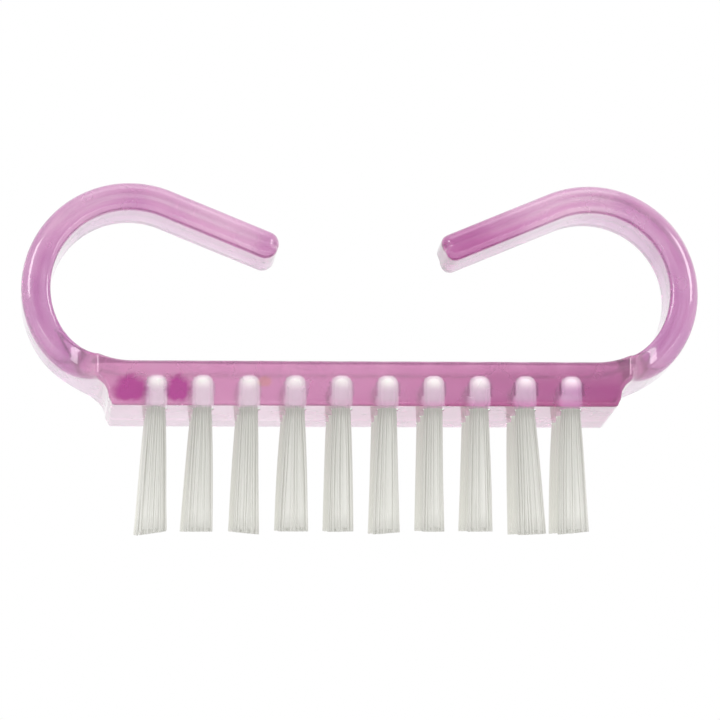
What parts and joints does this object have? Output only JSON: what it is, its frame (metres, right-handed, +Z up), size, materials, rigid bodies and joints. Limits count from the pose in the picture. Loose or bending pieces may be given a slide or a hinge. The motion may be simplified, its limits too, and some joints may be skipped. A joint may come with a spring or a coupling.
{
  "type": "nail brush",
  "caption": "Hand-held nail brush: a translucent plastic bar with two curled finger arms over it and rows of stiff filament tufts under it.",
  "frame": {"origin": "middle of the brush's box, on the plane that the bristle tips stand on", "axes": "+Z up from the bristle tips to the arms, +X along the bar, +Y across it"},
  "size_m": [0.0652, 0.0116, 0.0346],
  "materials": {
    "pink_plastic": "glossy moulded translucent plastic",
    "clear_nylon": "drawn filament, semi-clear",
    "anchor_steel": "flat drawn wire"
  },
  "bodies": {
    "root": {"handle": "pink_plastic", "tuft_r1_c01": "clear_nylon", "tuft_r1_c02": "clear_nylon", "tuft_r1_c03": "clear_nylon", "tuft_r1_c04": "clear_nylon", "tuft_r1_c05": "clear_nylon", "tuft_r1_c06": "clear_nylon", "tuft_r1_c07": "clear_nylon", "tuft_r1_c08": "clear_nylon", "tuft_r1_c09": "clear_nylon", "tuft_r1_c10": "clear_nylon", "tuft_r2_c01": "clear_nylon", "tuft_r2_c02": "clear_nylon", "tuft_r2_c03": "clear_nylon", "tuft_r2_c04": "clear_nylon", "tuft_r2_c05": "clear_nylon", "tuft_r2_c06": "clear_nylon", "tuft_r2_c07": "clear_nylon", "tuft_r2_c08": "clear_nylon", "tuft_r2_c09": "clear_nylon", "tuft_r2_c10": "clear_nylon", "tuft_r3_c01": "clear_nylon", "tuft_r3_c02": "clear_nylon", "tuft_r3_c03": "clear_nylon", "tuft_r3_c04": "clear_nylon", "tuft_r3_c05": "clear_nylon", "tuft_r3_c06": "clear_nylon", "tuft_r3_c07": "clear_nylon", "tuft_r3_c08": "clear_nylon", "tuft_r3_c09": "clear_nylon", "tuft_r3_c10": "clear_nylon", "anchor_r1_c01": "anchor_steel", "anchor_r1_c02": "anchor_steel", "anchor_r1_c03": "anchor_steel", "anchor_r1_c04": "anchor_steel", "anchor_r1_c05": "anchor_steel", "anchor_r1_c06": "anchor_steel", "anchor_r1_c07": "anchor_steel", "anchor_r1_c08": "anchor_steel", "anchor_r1_c09": "anchor_steel", "anchor_r1_c10": "anchor_steel", "anchor_r2_c01": "anchor_steel", "anchor_r2_c02": "anchor_steel", "anchor_r2_c03": "anchor_steel", "anchor_r2_c04": "anchor_steel", "anchor_r2_c05": "anchor_steel", "anchor_r2_c06": "anchor_steel", "anchor_r2_c07": "anchor_steel", "anchor_r2_c08": "anchor_steel", "anchor_r2_c09": "anchor_steel", "anchor_r2_c10": "anchor_steel", "anchor_r3_c01": "anchor_steel", "anchor_r3_c02": "anchor_steel", "anchor_r3_c03": "anchor_steel", "anchor_r3_c04": "anchor_steel", "anchor_r3_c05": "anchor_steel", "anchor_r3_c06": "anchor_steel", "anchor_r3_c07": "anchor_steel", "anchor_r3_c08": "anchor_steel", "anchor_r3_c09": "anchor_steel"}
  },
  "joints": []
}
